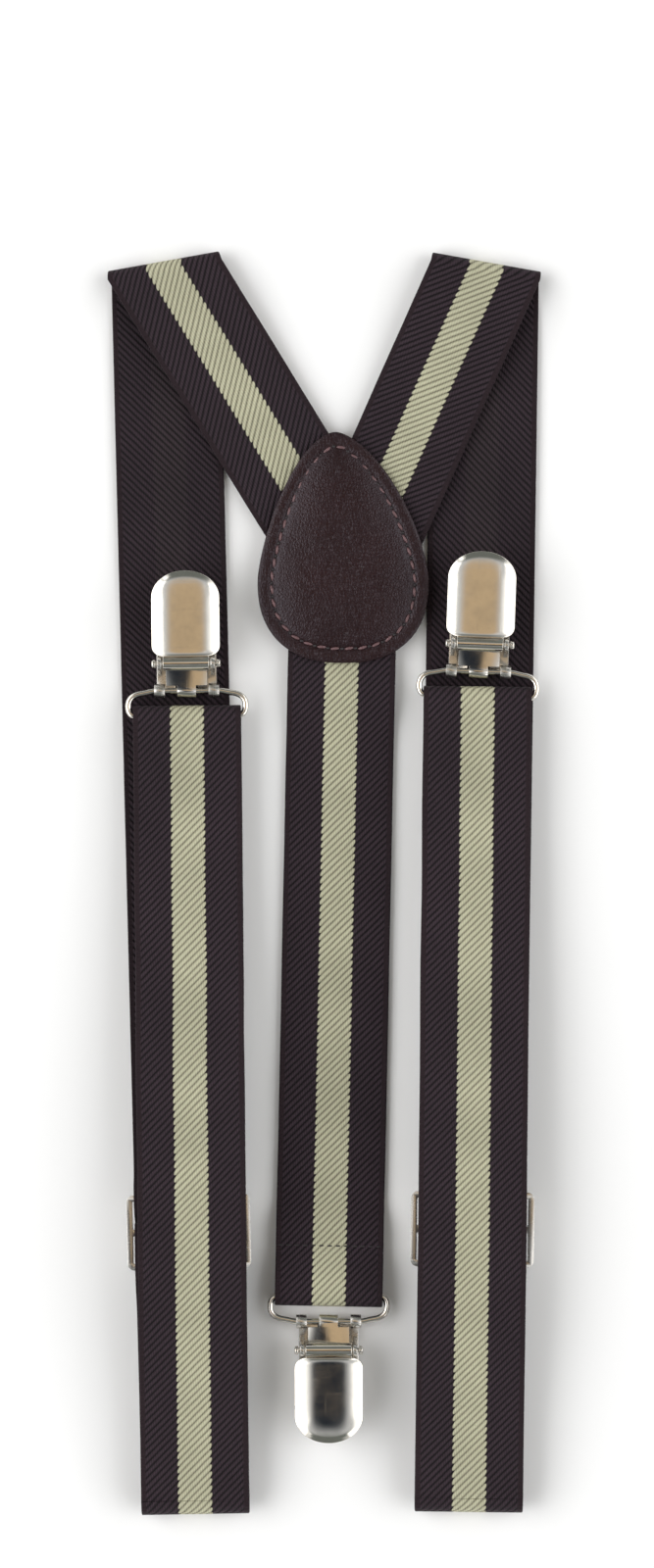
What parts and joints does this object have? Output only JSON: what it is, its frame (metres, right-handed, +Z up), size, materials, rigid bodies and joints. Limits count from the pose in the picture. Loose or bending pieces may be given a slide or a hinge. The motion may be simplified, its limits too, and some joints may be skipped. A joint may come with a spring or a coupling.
{
  "type": "suspenders",
  "caption": "Elastic Y-back suspenders with a sewn back patch, slide adjusters and cam-lever clips on wire bails, folded flat.",
  "frame": {"origin": "middle of the footprint, on the surface that the folded suspenders lie on", "axes": "+Y along the straps towards the shoulder folds, +X to the right seen from above with the clips' levers up, +Z up from the surface"},
  "size_m": [0.1008, 0.2936, 0.0107],
  "materials": {
    "webbing": "twill elastic webbing, dark plum with a cream centre stripe",
    "leatherette": "dark red-brown smooth leatherette with soft sheen",
    "nickel": "bright polished nickel plate",
    "plastic": "black moulded plastic"
  },
  "bodies": {
    "rear_straps": {"left_rear_strap": "webbing", "left_top_bend": "webbing", "left_bottom_bend": "webbing", "left_inner_bend": "webbing", "right_rear_strap": "webbing", "right_top_bend": "webbing", "right_bottom_bend": "webbing", "right_inner_bend": "webbing"},
    "yoke": {"patch_front": "leatherette", "patch_back": "leatherette", "left_shoulder_strap": "webbing", "right_shoulder_strap": "webbing", "back_strap": "webbing"},
    "left_adjuster": {"left_adjuster": "nickel", "left_tail": "webbing"},
    "left_front": {"left_front_strap": "webbing"},
    "right_adjuster": {"right_adjuster": "nickel", "right_tail": "webbing"},
    "right_front": {"right_front_strap": "webbing"},
    "left_bail": {"left_bail": "nickel"},
    "left_clip": {"left_back_jaw": "nickel", "left_grip_pad": "plastic", "left_lever_pin": "nickel"},
    "left_jaw": {"left_front_jaw": "nickel"},
    "left_lever": {"left_lever": "nickel"},
    "right_bail": {"right_bail": "nickel"},
    "right_clip": {"right_back_jaw": "nickel", "right_grip_pad": "plastic", "right_lever_pin": "nickel"},
    "right_jaw": {"right_front_jaw": "nickel"},
    "right_lever": {"right_lever": "nickel"},
    "back_bail": {"back_bail": "nickel"},
    "back_clip": {"back_back_jaw": "nickel", "back_grip_pad": "plastic", "back_lever_pin": "nickel"},
    "back_jaw": {"back_front_jaw": "nickel"},
    "back_lever": {"back_lever": "nickel"}
  },
  "joints": [
    {"name": "yoke_fold", "type": "hinge", "parent": "rear_straps", "child": "yoke", "pos_m": [0, 0.14214, 0.0021], "axis": [-1, 0, 0], "range_deg": [0, 165], "deforming": ["left_top_bend", "right_top_bend"]},
    {"name": "left_front_fold", "type": "hinge", "parent": "rear_straps", "child": "left_front", "pos_m": [-0.03003, -0.14476, 0.0036], "axis": [0.9999, 0.0107, 0], "range_deg": [0, 165], "deforming": ["left_bottom_bend", "left_inner_bend"]},
    {"name": "left_adjuster_slide", "type": "slide", "parent": "rear_straps", "child": "left_adjuster", "axis": [-0.0251, 0.9997, 0], "range_m": [-0.006, 0.018], "deforming": ["left_tail", "left_rear_strap"]},
    {"name": "right_front_fold", "type": "hinge", "parent": "rear_straps", "child": "right_front", "pos_m": [0.03328, -0.14426, 0.0036], "axis": [0.9999, -0.011, 0], "range_deg": [0, 165], "deforming": ["right_bottom_bend", "right_inner_bend"]},
    {"name": "right_adjuster_slide", "type": "slide", "parent": "rear_straps", "child": "right_adjuster", "axis": [0.0137, 0.9999, 0], "range_m": [-0.006, 0.018], "deforming": ["right_tail", "right_rear_strap"]},
    {"name": "left_bail_swing", "type": "hinge", "parent": "left_front", "child": "left_bail", "pos_m": [-0.03199, 0.03869, 0.0039], "axis": [0.9999, 0.0124, 0], "range_deg": [0, 60]},
    {"name": "left_clip_swing", "type": "hinge", "parent": "left_bail", "child": "left_clip", "pos_m": [-0.03206, 0.04449, 0.0039], "axis": [0.9999, 0.0124, 0], "range_deg": [0, 45]},
    {"name": "left_lever_flip", "type": "hinge", "parent": "left_clip", "child": "left_lever", "pos_m": [-0.03214, 0.05069, 0.00845], "axis": [0.9999, 0.0124, 0], "range_deg": [0, 90]},
    {"name": "left_jaw_open", "type": "hinge", "parent": "left_clip", "child": "left_jaw", "pos_m": [-0.03206, 0.04449, 0.0039], "axis": [0.9999, 0.0124, 0], "range_deg": [0, 12]},
    {"name": "right_bail_swing", "type": "hinge", "parent": "right_front", "child": "right_bail", "pos_m": [0.03534, 0.04314, 0.0039], "axis": [0.9994, -0.0354, 0], "range_deg": [0, 60]},
    {"name": "right_clip_swing", "type": "hinge", "parent": "right_bail", "child": "right_clip", "pos_m": [0.03554, 0.04894, 0.0039], "axis": [0.9994, -0.0354, 0], "range_deg": [0, 45]},
    {"name": "right_lever_flip", "type": "hinge", "parent": "right_clip", "child": "right_lever", "pos_m": [0.03576, 0.05513, 0.00845], "axis": [0.9994, -0.0354, 0], "range_deg": [0, 90]},
    {"name": "right_jaw_open", "type": "hinge", "parent": "right_clip", "child": "right_jaw", "pos_m": [0.03554, 0.04894, 0.0039], "axis": [0.9994, -0.0354, 0], "range_deg": [0, 12]},
    {"name": "back_bail_swing", "type": "hinge", "parent": "yoke", "child": "back_bail", "pos_m": [0.00082, -0.09616, 0.00235], "axis": [-1, -0.002, 0], "range_deg": [0, 60]},
    {"name": "back_clip_swing", "type": "hinge", "parent": "back_bail", "child": "back_clip", "pos_m": [0.00083, -0.10196, 0.00235], "axis": [-1, -0.002, 0], "range_deg": [0, 45]},
    {"name": "back_lever_flip", "type": "hinge", "parent": "back_clip", "child": "back_lever", "pos_m": [0.00084, -0.10816, 0.0069], "axis": [-1, -0.002, 0], "range_deg": [0, 90]},
    {"name": "back_jaw_open", "type": "hinge", "parent": "back_clip", "child": "back_jaw", "pos_m": [0.00083, -0.10196, 0.00235], "axis": [-1, -0.002, 0], "range_deg": [0, 12]}
  ],
  "couplings": [
    {"joint": "left_jaw_open", "follows": "left_lever_flip", "ratio": 0.1155},
    {"joint": "right_jaw_open", "follows": "right_lever_flip", "ratio": 0.1155},
    {"joint": "back_jaw_open", "follows": "back_lever_flip", "ratio": 0.1155}
  ]
}
